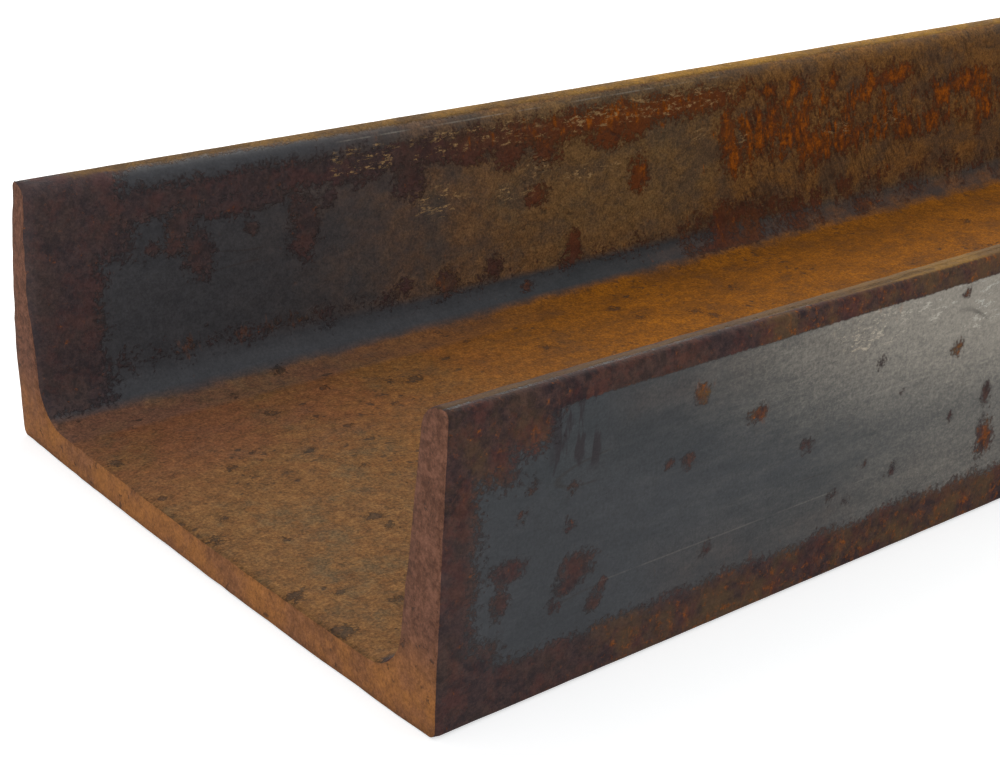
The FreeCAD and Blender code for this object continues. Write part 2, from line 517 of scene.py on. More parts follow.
# %% Far inside, further along: tall blooms where water ran down
jagged = 16 * wander(place, (0.05, 0.010, 0.010), 40)
wet = smooth(228, 262, from_end + jagged)
tall = wander(place, (0.007, 0.05, 0.016), 44)
patchy = wander(place, (0.045, 0.05, 0.016), 45)
blooming = smooth(30, 38, z_mm) * smooth(66, 50, z_mm)
lay("rust", "far inside", wet * blooming * (0.36 + 0.30 * tall + 0.35 * patchy))
lay("orange", "far inside", wet * blooming * (0.34 + 0.40 * tall + 0.35 * patchy))
lay("slants", "far inside", 0.8 * wet * smooth(8, 16, z_mm) * smooth(69, 66, z_mm))
lay("rich", "far inside", 0.35 * wet * smooth(14, 24, z_mm))
band("rust", "far inside", 37, 43, 5.0, start=292, end=LENGTH_MM, strength=0.6)
band("orange", "far inside", 38, 43, 5.0, start=292, end=LENGTH_MM, strength=0.5)
print_cover("far inside")

# %% Far inside, further along: rust that creeps up from the fillet
creeping = smooth(200, 262, from_end + 2 * jagged + 30 * wander(place, 0.012, 41)) * smooth(32, 18, z_mm)
low_rust = 0.40 + 0.3 * tall + 0.3 * patchy + 0.25 * smooth(330, 250, from_end)
lay("rust", "far inside", creeping * low_rust)
lay("orange", "far inside", creeping * (0.16 + 0.35 * patchy))
print_cover("far inside")

# %% Far inside, further along: the larger blooms
BLOOMS = (
    (250, 48, 2.5, 9), (253, 38, 3, 6), (263, 46, 3.5, 8), (271, 48, 3.5, 6), (278, 55, 2.5, 5),
    (286, 46, 4, 8), (293, 38, 6, 6), (309, 37, 5, 4), (283, 60, 3, 3), (318, 52, 4, 4),
    (363, 48, 5, 4), (377, 51, 6, 4), (389, 38, 4, 5), (345, 36, 5, 3), (358, 38, 5, 4),
    (335, 58, 8, 3), (256, 62, 3, 3), (268, 60, 3, 2), (300, 59, 3, 2.5), (322, 57, 3, 4),
    (372, 50, 4, 3),
)
for x, v, long, wide in BLOOMS:
    spot("orange", "far inside", x, v, long, wide, 0.85)
    spot("rust", "far inside", x, v, long * 1.5, wide * 1.3, 0.9)
print(len(BLOOMS), "blooms laid")

# %% [markdown]
# ## The rest of the bar
# The far half, and the faces that lie away from the eye, get spots of the same sizes at random
# places. Random numbers are drawn from a fixed seed, so the bar comes out the same each time.
# Bands follow their edges and ends, and a slow noise sets where heavier rust covers them.

# %% Scatter the same spots over the rest of the bar
def scatter(face, count, low_v, high_v, start, seed):
    """Spots of mixed sizes over a face, a few of them with an orange heart."""
    pick = random.Random(seed)
    for _ in range(count):
        x, v = pick.uniform(start, LENGTH_MM), pick.uniform(low_v, high_v)
        size = 1.5 + 4.5 * pick.random() ** 2.5
        long, wide = size * pick.uniform(0.8, 1.6), size * pick.uniform(0.8, 1.4)
        spot("rust", face, x, v, long, wide)
        if pick.random() < 0.3:
            spot("orange", face, x, v, long * 0.8, wide * 0.8, 0.9)
    print_cover(face)


scatter("near side", 75, 14, 62, 185, 1)
scatter("far side", 120, 12, 62, 6, 2)
scatter("near inside", 110, 16, 60, 20, 3)
scatter("web back", 170, -85, 85, 6, 4)

# %% Bands and heavier rust on the rest of the bar
for side in ("far side", "near inside"):
    band("rust", side, 63.5, 80, 3.5)
    band("rust", side, -10, 80, 5.0, end=13)
band("rust", "far side", -10, 12, 3.5)
for side in ("near side", "far side", "near inside", "far inside"):
    band("rust", side, -10, 80, 6.0, start=LENGTH_MM - 14)
    band("orange", side, 8, 66, 12.0, start=LENGTH_MM - 40, strength=0.5)
band("rust", "web back", -95, 95, 6.0, end=14)
band("rust", "web back", -95, 95, 6.0, start=LENGTH_MM - 14)
for edge in (-90, 90):
    band("rust", "web back", edge - 9, edge + 9, 5.0)
big = wander(place, (0.09, 0.03, 0.03), 31)
COVERED = (("near inside", 0.8, 0.28), ("web back", 0.9, 0.05), ("far side", 0.9, 0.3))
for side, strength, threshold in COVERED:
    lay("rust", side, 0.5 + strength * (big - threshold))
    print_cover(side)

# %% [markdown]
# ## Film and rubbed tips
# The trough stays damp, so the film there is thick, and richer further from the cut end, with
# drier patches. In the fillet it gives way to blue scale, and on the rounded toe it is rubbed
# thin. The tips of the flanges are rubbed and dusty all along the bar.

# %% The thin brown film that turns grey scale olive, then ochre
def repaint(coat, where, amount):
    """Set a coat to an amount wherever a condition holds."""
    coats[coat] = np.where(where, amount, coats[coat])


repaint("film", ~is_inner, np.maximum(coats["film"], 0.02))
repaint("film", is_inner, 0.05 + 0.65 * smooth(42, 175, from_end))
trough = is_inner & (z_mm < 40)
repaint("film", trough, np.maximum(coats["film"], smooth(10.2, 8.4, z_mm)))
fillet = is_inner & (z_mm < 17.5) & (z_mm > 8.6)
repaint("film", fillet, coats["film"] * smooth(10.5, 8.8, z_mm) + 0.05 * smooth(9, 15, z_mm))
repaint("film", fillet, np.maximum(coats["film"], 0.35 * smooth(150, 320, from_end)))
repaint("rust", is_inner, coats["rust"] * smooth(8.3, 11.0, z_mm))
drier = 0.35 * smooth(-0.1, 0.4, big) * smooth(380, 480, from_end)
on_web = is_inner & (z_mm < 14)
repaint("rich", on_web, np.maximum(coats["rich"], smooth(30, 190, from_end) - drier))
toe_round = is_inner & (z_mm > 64)
toe_clean = smooth(64.5, 66.5, z_mm) * (0.1 + 0.45 * smooth(130, 70, from_end))
repaint("film", toe_round, coats["film"] * (1 - toe_clean))
print_cover("web top")

# %% Tips of the flanges, rubbed and dusty
tip_flat = z_mm > 69.0
rub_width = smooth(60, 150, from_end)
near_rim = -88.2 - 1.8 * rub_width
near_tan = smooth(near_rim, near_rim + 1.2, y_mm)
far_tan = smooth(6, 22, from_end)
coats["tan"] = smooth(69.3 - 0.9 * rub_width, 70.0, z_mm) * np.where(y_mm < 0, near_tan, far_tan)
near_tip = 0.8 * smooth(70, 220, from_end)
far_tip = 0.35 + 0.65 * smooth(60, 260, from_end)
repaint("rich", tip_flat, np.where(y_mm > 0, far_tip, near_tip))
repaint("rust", tip_flat, np.maximum(coats["rust"], 0.62))
print({name: round(float(amount.mean()), 3) for name, amount in coats.items()})

# %% [markdown]
# ## The piece
# The bar becomes one object with its coats as point attributes, and each face gets one of two
# materials: rolled steel, or cut steel on the two ends. It takes the place of the plain bar.

# %% Turn the bar into a piece
def make_piece():
    """Write the bar as a mesh object with its coats as point attributes."""
    mesh = bpy.data.meshes.new("channel_steel")
    bar.to_mesh(mesh)
    bar.free()
    for name, amount in coats.items():
        mesh.attributes.new(name, "FLOAT", "POINT").data.foreach_set("value", amount.astype(np.float32))
    for layer in ("walk", "depth"):
        mesh.attributes.remove(mesh.attributes[layer])
    mesh.shade_smooth()
    piece = bpy.data.objects.new("channel_steel", mesh)
    bpy.context.scene.collection.objects.link(piece)
    return piece


on_cut_end = near_end | far_end
for face in bar.faces:
    face.material_index = int(all(on_cut_end[vert.index] for vert in face.verts))
channel = make_piece()
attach(channel, "root")
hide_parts("u_channel")
print(channel.name, "triangles:", sum(len(p.vertices) - 2 for p in channel.data.polygons))

# %% [markdown]
# ## Tools for the materials
# Steel needs only a few effects, used again and again: a ragged mask that turns a painted coat
# into a crisp, grainy edge, a fine grain, and streaks drawn out along the bar. Each is a node
# group, built once. They read Object coordinates, so they stay put when the bar is moved.

# %% Helpers that add nodes
def steel_colour(red, green, blue):
    """A colour given on a 0 to 255 scale, as the linear value that a shader wants."""
    linear = [((c / 255 + 0.055) / 1.055) ** 2.4 for c in (red, green, blue)]
    return (*linear, 1.0)


def add(tree, kind, settings=None, **inputs):
    """Add a node, set its options, and set or link its inputs by name."""
    node = tree.nodes.new(kind)
    for key, value in (settings or {}).items():
        setattr(node, key, value)
    for key, value in inputs.items():
        plug(tree, node.inputs[key.replace("_", " ")], value)
    return node


def plug(tree, socket, value):
    """Link a socket to another, or give it a plain value."""
    if isinstance(value, bpy.types.NodeSocket):
        tree.links.new(value, socket)
    else:
        socket.default_value = value


def sums(tree, operation, *values):
    """A Math node on two or three values."""
    node = tree.nodes.new("ShaderNodeMath")
    node.operation = operation
    for socket, value in zip(node.inputs, values):
        plug(tree, socket, value)
    return node.outputs[0]


def times(tree, first, second):
    """One value times another."""
    return sums(tree, "MULTIPLY", first, second)


def times_plus(tree, first, second, third):
    """One value times another, plus a third."""
    return sums(tree, "MULTIPLY_ADD", first, second, third)


def centred(tree, value):
    """A value that runs from 0 to 1, moved down to run from -0.5 to 0.5."""
    return sums(tree, "SUBTRACT", value, 0.5)


def mixed(tree, share, first, second, blend="MIX"):
    """Two colours mixed by a share."""
    node = tree.nodes.new("ShaderNodeMix")
    node.data_type = "RGBA"
    node.blend_type = blend
    for number, value in ((0, share), (6, first), (7, second)):
        plug(tree, node.inputs[number], value)
    return node.outputs[2]


def ramp(tree, value, low_value, high_value, to_low=0.0, to_high=1.0):
    """A soft step between two values."""
    node = add(tree, "ShaderNodeMapRange", {"interpolation_type": "SMOOTHSTEP"}, Value=value,
               From_Min=low_value, From_Max=high_value, To_Min=to_low, To_Max=to_high)
    return node.outputs[0]


def noise_at(tree, scale, stretch=(1, 1, 1), detail=4.0, rough=0.6, shift=(0, 0, 0)):
    """Noise on Object coordinates; a small stretch along an axis draws it out that way."""
    coordinates = add(tree, "ShaderNodeTexCoord").outputs["Object"]
    mapping = add(tree, "ShaderNodeMapping", Vector=coordinates, Scale=stretch, Location=shift)
    node = add(tree, "ShaderNodeTexNoise", Vector=mapping.outputs[0], Scale=scale, Detail=detail,
               Roughness=rough)
    return node.outputs["Fac"]


def leaning_noise(tree, scale, lean, length, detail=3.0, rough=0.6):
    """Noise drawn out along a line that leans over in the upright plane along the bar."""
    coordinates = add(tree, "ShaderNodeTexCoord").outputs["Object"]
    mapping = add(tree, "ShaderNodeMapping", {"vector_type": "TEXTURE"}, Vector=coordinates,
                  Rotation=(0, lean, 0), Scale=(1, 1, length))
    return add(tree, "ShaderNodeTexNoise", Vector=mapping.outputs[0], Scale=scale, Detail=detail,
               Roughness=rough).outputs["Fac"]


def new_group(name, inputs, outputs):
    """An empty node group with float inputs and named outputs; returns it and its two ends."""
    tree = bpy.data.node_groups.new(name, "ShaderNodeTree")
    for label, default in inputs.items():
        socket = tree.interface.new_socket(label, in_out="INPUT", socket_type="NodeSocketFloat")
        socket.default_value = default
    for label in outputs:
        tree.interface.new_socket(label, in_out="OUTPUT", socket_type="NodeSocketFloat")
    return tree, tree.nodes.new("NodeGroupInput"), tree.nodes.new("NodeGroupOutput")


print("white on the linear scale:", steel_colour(255, 255, 255))

# %% The ragged mask, the grain, the streaks and the scratches
def build_ragged():
    """Turns a soft coat into a mask with lumpy, grainy edges."""
    tree, start, end = new_group("ragged mask", {"Amount": 0, "Lumps": 0.5, "Grain": 0.5, "Softness": 0.05},
                                 ["Mask"])
    lumps = centred(tree, noise_at(tree, 150, detail=3, rough=0.6))
    grain = centred(tree, noise_at(tree, 800, detail=5, rough=0.75))
    moved = times_plus(tree, lumps, start.outputs["Lumps"], start.outputs["Amount"])
    moved = times_plus(tree, grain, start.outputs["Grain"], moved)
    under = sums(tree, "SUBTRACT", 0.5, start.outputs["Softness"])
    over = sums(tree, "ADD", 0.5, start.outputs["Softness"])
    plug(tree, end.inputs["Mask"], ramp(tree, moved, under, over))
    return tree


def build_grain():
    """Speckle of rust and scale at three sizes, and a height for bump."""
    tree, start, end = new_group("steel grain", {}, ["Fine", "Coarse", "Mottle", "Height"])
    fine = noise_at(tree, 1400, detail=3, rough=0.75)
    coarse = noise_at(tree, 420, detail=5, rough=0.75, shift=(3, 1, 2))
    mottle = noise_at(tree, 95, stretch=(0.7, 1, 1), detail=7, rough=0.68, shift=(1, 5, 2))
    plug(tree, end.inputs["Fine"], ramp(tree, fine, 0.3, 0.7))
    plug(tree, end.inputs["Coarse"], ramp(tree, coarse, 0.34, 0.66))
    plug(tree, end.inputs["Mottle"], ramp(tree, mottle, 0.36, 0.64))
    plug(tree, end.inputs["Height"], times_plus(tree, coarse, 1.2, fine))
    return tree


def build_streaks():
    """Long streaks that the rolls drew along the bar, and short pits between them."""
    tree, start, end = new_group("rolling streaks", {}, ["Streaks", "Pits"])
    streaks = noise_at(tree, 300, stretch=(0.22, 1, 1), detail=6, rough=0.78)
    pits = noise_at(tree, 380, stretch=(0.85, 1, 1), detail=2, rough=0.5, shift=(5, 0, 1))
    clusters = ramp(tree, noise_at(tree, 42, detail=3, shift=(3, 3, 3)), 0.45, 0.66, -0.09, 0.05)
    pits = sums(tree, "ADD", pits, clusters)
    plug(tree, end.inputs["Streaks"], ramp(tree, streaks, 0.3, 0.7))
    plug(tree, end.inputs["Pits"], ramp(tree, pits, 0.61, 0.74))
    return tree


def build_scratches():
    """Thin curved scratches, drawn where a slow noise crosses one value, a few at a time."""
    tree, start, end = new_group("scratches", {}, ["Mask"])
    slow = noise_at(tree, 45, stretch=(0.3, 1, 1), detail=1, rough=0.5, shift=(4, 0, 8))
    lines = ramp(tree, sums(tree, "ABSOLUTE", sums(tree, "SUBTRACT", slow, 0.46)), 0.006, 0.001)
    here = ramp(tree, noise_at(tree, 40, detail=2, shift=(7, 7, 0)), 0.5, 0.6)
    plug(tree, end.inputs["Mask"], times(tree, lines, here))
    return tree


GROUPS = {"ragged": build_ragged(), "grain": build_grain(), "streaks": build_streaks(),
          "scratches": build_scratches()}


def use(tree, group, **inputs):
    """Place a node group in a material."""
    node = add(tree, "ShaderNodeGroup", {"node_tree": GROUPS[group]})
    for key, value in inputs.items():
        plug(tree, node.inputs[key], value)
    return node.outputs


print("groups:", sorted(group.name for group in GROUPS.values()))

# %% [markdown]
# ## Rolled steel
# The skin is built up as it grew. Blue-grey scale lies at the bottom, with rolling streaks. A
# thin brown film turns it olive and then ochre. Heavy rust sits on top in ragged patches, darker
# and rougher than the film, and fresh orange blooms in the middle of some of them. Small marks
# come last. Each function below lays one of these on the colour that it is given. Each coat
# changes the roughness too, because scale has a dull shine and rust has none.

# %% Colours of scale, film and rust
SCALE_DARK, SCALE_LIGHT = steel_colour(49, 52, 55), steel_colour(69, 71, 74)
# The colour on the next line is a painted highlight: the pale sheen of scale where light glances off it.
PAINTED_SHEEN_PALE = steel_colour(150, 143, 132)
FILM_TAN, FILM_BROWN = steel_colour(127, 91, 54), steel_colour(108, 72, 41)
# The second colour on the next line is wet film painted paler, as painted light.
FILM_OLIVE, FILM_WET_LIT = steel_colour(94, 80, 58), steel_colour(122, 97, 60)
FILM_RICH, FILM_RICH_DARK = steel_colour(148, 88, 7), steel_colour(124, 73, 9)
FILM_RUDDY, FILM_BLOT = steel_colour(122, 72, 50), steel_colour(74, 56, 38)
RUST_DARK, RUST_BROWN = steel_colour(38, 30, 34), steel_colour(72, 53, 50)
RUST_RED, RUST_OLIVE = steel_colour(88, 48, 41), steel_colour(96, 73, 46)
RUST_WARM = steel_colour(116, 60, 18)
ORANGE_DEEP, ORANGE_BRIGHT = steel_colour(104, 55, 14), steel_colour(170, 92, 16)
TAN_DARK, TAN_LIGHT = steel_colour(70, 52, 40), steel_colour(97, 74, 50)
# The second colour on the next line is a plain grey, laid as a greyer, paler tone.
TAN_GOLD, GREYING_TONE = steel_colour(168, 124, 42), steel_colour(84, 80, 84)
# The second colour on the next line is a nearly white painted glint.
FLECK_TAN, FLECK_PAINTED_GLINT = steel_colour(172, 140, 96), steel_colour(190, 186, 176)
PIT_DARK, SLANT_BROWN = steel_colour(46, 41, 38), steel_colour(54, 34, 24)
# The pale colour printed below is the painted sheen.
print("burnished scale, linear:", tuple(round(c, 3) for c in PAINTED_SHEEN_PALE))

# %% A new material, a painted coat and a speckle
def start_material(name):
    """A material with one Principled shader; returns the material, its tree and the shader."""
    material = bpy.data.materials.new(name)
    material.use_nodes = True
    return material, material.node_tree, material.node_tree.nodes["Principled BSDF"]


def coat(tree, name):
    """The painted amount of a coat."""
    return add(tree, "ShaderNodeAttribute", {"attribute_name": name}).outputs["Fac"]


def on_axis(tree, axis):
    """How far a point lies along the X, Y or Z axis, in metres."""
    coordinates = add(tree, "ShaderNodeTexCoord").outputs["Object"]
    return add(tree, "ShaderNodeSeparateXYZ", Vector=coordinates).outputs[axis]


def speckled(tree, colour, grain, fine, coarse):
    """Lighten and darken a colour by the fine and the coarse grain."""
    shade = times_plus(tree, centred(tree, grain["Fine"]), fine, 1.0)
    shade = times_plus(tree, centred(tree, grain["Coarse"]), coarse, shade)
    return mixed(tree, 1.0, colour, shade, "MULTIPLY")


print("coats that a material can read:", ", ".join(COATS))

# %% Scale and film
GREYING_SHARE = 0.28


def scale_colour(tree, grain, rolling):
    """Blue-grey mill scale with rolling streaks, and a painted highlight: paler where the sheen coat says
    so.
    """
    colour = mixed(tree, times(tree, rolling["Streaks"], 0.25), SCALE_DARK, SCALE_LIGHT)
    colour = mixed(tree, times(tree, grain["Mottle"], 0.35), colour, SCALE_LIGHT)
    painted_sheen = times_plus(tree, centred(tree, rolling["Streaks"]), 0.14, coat(tree, "painted_sheen"))
    # A fine noise breaks up the painted sheen.
    sheen_breakup = noise_at(tree, 1000, stretch=(0.6, 1, 1), detail=5, rough=0.9, shift=(5, 5, 1))
    sheen_breakup_share = times(tree, coat(tree, "painted_sheen"), 0.42)
    painted_sheen = times_plus(tree, centred(tree, ramp(tree, sheen_breakup, 0.42, 0.60)), sheen_breakup_share, painted_sheen)
    colour = mixed(tree, ramp(tree, painted_sheen, 0.0, 1.0), colour, PAINTED_SHEEN_PALE)
    return mixed(tree, times(tree, use(tree, "scratches")["Mask"], 0.5), colour, PIT_DARK)


def film_colour(tree, grain):
    """Thin rust: tan and brown blotches with olive where it is thin, richer where it stays wet."""
    blotch = ramp(tree, noise_at(tree, 260, detail=7, rough=0.8, shift=(9, 3, 1)), 0.34, 0.68)
    colour = mixed(tree, blotch, FILM_TAN, FILM_BROWN)
    olive = ramp(tree, noise_at(tree, 60, detail=7, rough=0.78, shift=(2, 8, 5)), 0.48, 0.68)
    colour = mixed(tree, times(tree, olive, 0.7), colour, FILM_OLIVE)
    ruddy = ramp(tree, noise_at(tree, 26, detail=5, rough=0.7, shift=(4, 4, 7)), 0.36, 0.58)
    colour = mixed(tree, times(tree, ruddy, coat(tree, "ruddy")), colour, FILM_RUDDY)
    # Paler, wet film where the weathered coat lies: partly painted light.
    colour = mixed(tree, times(tree, coat(tree, "weathered_and_lit"), 0.6), colour, FILM_WET_LIT)
    rich = mixed(tree, grain["Mottle"], FILM_RICH_DARK, FILM_RICH)
    colour = mixed(tree, times(tree, coat(tree, "rich"), 0.9), colour, rich)
    blots = ramp(tree, noise_at(tree, 130, detail=6, rough=0.8, shift=(6, 1, 2)), 0.50, 0.66)
    blot_share = times_plus(tree, coat(tree, "rich"), -0.22, 0.28)
    colour = mixed(tree, times(tree, blots, blot_share), colour, FILM_BLOT)
    return speckled(tree, colour, grain, 0.45, 0.25)


def film_over_scale(tree, grain, rolling):
    """The film on the scale, in clouds, with a greyer, paler tone over both where the coat says so."""
    amount = coat(tree, "film")
    clouds = times(tree, centred(tree, grain["Mottle"]), 0.6)
    share = ramp(tree, times_plus(tree, clouds, amount, amount), 0.0, 0.9)
    colour = mixed(tree, share, scale_colour(tree, grain, rolling), film_colour(tree, grain))
    return mixed(tree, times(tree, coat(tree, "greying"), GREYING_SHARE), colour, GREYING_TONE)


# The share printed below is that of the greyer tone.
print("full dust covers a share of", GREYING_SHARE)

# %% Heavy rust and its blooms
def rust_colour(tree, grain):
    """Heavy rust: purple and brown, with orange grains that crowd where the coat says so."""
    colour = mixed(tree, grain["Coarse"], RUST_DARK, RUST_BROWN)
    colour = mixed(tree, times(tree, grain["Mottle"], 0.3), colour, RUST_BROWN)
    red_patches = ramp(tree, noise_at(tree, 110, detail=6, rough=0.75, shift=(7, 2, 6)), 0.46, 0.62)
    colour = mixed(tree, times(tree, red_patches, 0.5), colour, RUST_RED)
    olive_patches = ramp(tree, noise_at(tree, 75, detail=6, rough=0.75, shift=(3, 9, 4)), 0.42, 0.62)
    olive_share = times_plus(tree, coat(tree, "orange"), 1.5, 0.14)
    colour = mixed(tree, times(tree, olive_patches, olive_share), colour, RUST_OLIVE)
    # Warmer, paler rust where the weathered coat lies: partly painted light.
    colour = mixed(tree, times(tree, coat(tree, "weathered_and_lit"), 0.75), colour, RUST_WARM)
    colour = mixed(tree, times(tree, coat(tree, "greying"), GREYING_SHARE), colour, GREYING_TONE)
    grains = noise_at(tree, 480, detail=5, rough=0.7, shift=(6, 6, 6))
    crowd = times_plus(tree, coat(tree, "orange"), 0.22, grains)
    orange = mixed(tree, grain["Fine"], ORANGE_DEEP, ORANGE_BRIGHT)
    return mixed(tree, times(tree, ramp(tree, crowd, 0.60, 0.80), 0.75), colour, orange)


def lay_rust(tree, colour, grain, strokes):
    """A wide stain, then ragged rust on it; returns the colour and both masks."""
    broken = times(tree, strokes, times(tree, coat(tree, "slants"), 1.8))
    amount = sums(tree, "ADD", coat(tree, "rust"), broken)
    stain = use(tree, "ragged", Amount=amount, Lumps=0.8, Grain=1.0, Softness=0.35)["Mask"]
    colour = mixed(tree, times(tree, stain, 0.28), colour, RUST_BROWN)
    mask = use(tree, "ragged", Amount=amount, Lumps=0.9, Grain=1.8, Softness=0.15)["Mask"]
    return mixed(tree, mask, colour, rust_colour(tree, grain)), stain, mask


def lay_blooms(tree, colour, grain, strokes):
    """Fresh orange rust in short strokes; returns the colour and the mask."""
    bloom = ramp(tree, times_plus(tree, strokes, 2.8, coat(tree, "orange")), 0.42, 0.72)
    bloom_colour = mixed(tree, grain["Coarse"], ORANGE_DEEP, ORANGE_BRIGHT)
    share = times_plus(tree, coat(tree, "weathered_and_lit"), 0.8, 0.2)
    return mixed(tree, times(tree, bloom, share), colour, bloom_colour), bloom


print("blooms run from", tuple(round(c, 3) for c in ORANGE_DEEP), "to",
      tuple(round(c, 3) for c in ORANGE_BRIGHT))

# %% Dark dashes and strokes
SLANT = math.radians(-28)


def lay_dashes(tree, colour):
    """Upright dark dashes."""
    dashes = noise_at(tree, 330, stretch=(1, 1, 0.22), detail=3, rough=0.6, shift=(1, 7, 0))
    mask = times(tree, ramp(tree, dashes, 0.50, 0.58), ramp(tree, coat(tree, "dashes"), 0.2, 0.7))
    return mixed(tree, times(tree, mask, 0.8), colour, RUST_DARK)


def lay_slants(tree, colour, bloom):
    """Fine dark leaning strokes, in clusters, and fewer where orange blooms."""
    strokes = ramp(tree, leaning_noise(tree, 700, SLANT, 6.0), 0.48, 0.62)
    clusters = ramp(tree, noise_at(tree, 60, detail=3, shift=(4, 2, 0)), 0.36, 0.56)
    clusters = sums(tree, "SUBTRACT", clusters, times(tree, bloom, 0.3))
    mask = times(tree, times(tree, strokes, coat(tree, "slants")), clusters)
    return mixed(tree, times(tree, mask, 0.6), colour, SLANT_BROWN)


print("strokes lean by", round(math.degrees(SLANT)), "degrees")

# %% Pale flecks, glints and rubbed tips
GLINT_HEIGHTS = (22.2 * MM, 43.9 * MM, 67.8 * MM)
GLINT_HALF_WIDTH = 0.3 * MM


def lay_flecks(tree, colour):
    """Small pale marks in clusters, some of them painted glints: tan, and nearly white in the painted
    sheen.
    """
    flakes = noise_at(tree, 620, stretch=(0.42, 1, 1.3), detail=5, rough=0.8, shift=(2, 2, 9))
    clusters = ramp(tree, noise_at(tree, 130, detail=3, shift=(1, 1, 5)), 0.37, 0.52)
    mask = times(tree, ramp(tree, flakes, 0.55, 0.60), ramp(tree, coat(tree, "flecks"), 0.3, 0.6))
    fleck = mixed(tree, coat(tree, "painted_sheen"), FLECK_TAN, FLECK_PAINTED_GLINT)
    return mixed(tree, times(tree, times(tree, mask, clusters), 0.9), colour, fleck)


def lay_glints(tree, colour):
    """Painted highlights: thin broken bright lines along the bar, at a few heights."""
    up_bar = on_axis(tree, "Z")
    glint = 0.0
    for line_height in GLINT_HEIGHTS:
        off_line = sums(tree, "ABSOLUTE", sums(tree, "SUBTRACT", up_bar, line_height))
        glint = sums(tree, "MAXIMUM", glint, ramp(tree, off_line, GLINT_HALF_WIDTH, 0.0))
    broken = ramp(tree, noise_at(tree, 60, detail=4, shift=(8, 0, 0)), 0.42, 0.56)
    mask = times(tree, times(tree, glint, coat(tree, "glint")), broken)
    return mixed(tree, times(tree, mask, 0.8), colour, PAINTED_SHEEN_PALE)


def lay_tips(tree, colour, grain):
    """Tan or golden tips of the flanges; returns the colour and the mask."""
    mask = use(tree, "ragged", Amount=coat(tree, "tan"), Lumps=0.5, Grain=0.9, Softness=0.3)["Mask"]
    tan = mixed(tree, coat(tree, "rich"), TAN_LIGHT, TAN_GOLD)
    tan = mixed(tree, times(tree, grain["Mottle"], 0.6), tan, TAN_DARK)
    return mixed(tree, times(tree, mask, 0.85), colour, tan), mask


def lay_pits(tree, colour, rolling):
    """Dark pits in the film, and specks of scale; returns the colour and the mask."""
    specks = use(tree, "ragged", Amount=coat(tree, "specks"), Lumps=0.4, Grain=2.0, Softness=0.08)["Mask"]
    pits = times(tree, rolling["Pits"], sums(tree, "ADD", 0.06, coat(tree, "film")))
    pits = sums(tree, "MAXIMUM", pits, specks)
    return mixed(tree, times(tree, pits, 0.6), colour, PIT_DARK), pits


print("glint heights in mm:", [round(height / MM, 1) for height in GLINT_HEIGHTS])

# %% Material for the rolled faces
def rolled_roughness(tree, grain, rusty):
    """Dull where there is film, duller where there is heavy rust or a tan tip, with some grain."""
    rough = ramp(tree, coat(tree, "film"), 0.0, 0.8, 0.52, 0.88)
    rough = sums(tree, "MAXIMUM", rough, times(tree, rusty, 0.9))
    return times_plus(tree, centred(tree, grain["Coarse"]), 0.12, rough)


def rolled_relief(tree, grain, rolling, rust_mask, pits):
    """A height for bump: coarse on rust, finer on film, nearly flat on scale, low in pits."""
    film = coat(tree, "film")
    height = times(tree, grain["Height"], times_plus(tree, rust_mask, 0.16, 0.045))
    height = times_plus(tree, film, times(tree, grain["Height"], 0.19), height)
    height = times_plus(tree, grain["Mottle"], times(tree, film, 0.2), height)
    height = times_plus(tree, rust_mask, 0.06, height)
    height = times_plus(tree, pits, -0.2, height)
    return times_plus(tree, rolling["Streaks"], 0.03, height)


def finish_material(tree, shader, colour, rough, specular, height):
    """Put colour, roughness and relief on the shader."""
    plug(tree, shader.inputs["Base Color"], colour)
    plug(tree, shader.inputs["Roughness"], rough)
    shader.inputs["Specular IOR Level"].default_value = specular
    bump = add(tree, "ShaderNodeBump", Strength=1.0, Distance=MM, Height=height)
    plug(tree, shader.inputs["Normal"], bump.outputs[0])


def make_rolled_steel():
    """Scale and film, then heavy rust and blooms, then the small marks."""
    material, tree, shader = start_material("rolled_steel")
    grain, rolling = use(tree, "grain"), use(tree, "streaks")
    strokes = centred(tree, leaning_noise(tree, 300, SLANT * 0.3, 3.0, detail=5, rough=0.7))
    colour = film_over_scale(tree, grain, rolling)
    colour, stain, rust_mask = lay_rust(tree, colour, grain, strokes)
    colour, bloom = lay_blooms(tree, colour, grain, strokes)
    colour = lay_dashes(tree, colour)
    colour = lay_slants(tree, colour, bloom)
    colour = lay_flecks(tree, colour)
    colour = lay_glints(tree, colour)
    colour, tan_mask = lay_tips(tree, colour, grain)
    colour, pits = lay_pits(tree, colour, rolling)
    rough = rolled_roughness(tree, grain, sums(tree, "MAXIMUM", stain, tan_mask))
    height = rolled_relief(tree, grain, rolling, rust_mask, pits)
    finish_material(tree, shader, speckled(tree, colour, grain, 0.34, 0.22), rough, 0.16, height)
    return material


rolled_steel = make_rolled_steel()
print("rolled steel nodes:", len(rolled_steel.node_tree.nodes))

# %% [markdown]
# ## Cut steel
# A cut face has no scale at all. It rusts evenly into a fine pinkish brown, more orange low down
# where water stands on the web, with a few dark specks, and one dark seam near the outer side of
# the near flange.

# %% Material for the cut ends
CUT_PINK, CUT_BROWN = steel_colour(122, 83, 66), steel_colour(96, 62, 47)
CUT_ORANGE = steel_colour(166, 108, 56)
WET_TOP, WET_FULL = 24 * MM, 5 * MM
SEAM_ACROSS = -77.2 * MM
SEAM_HALF_WIDTH, SEAM_CORE = 0.5 * MM, 0.1 * MM
SEAM_START, SEAM_END = (20 * MM, 23 * MM), (36 * MM, 30 * MM)


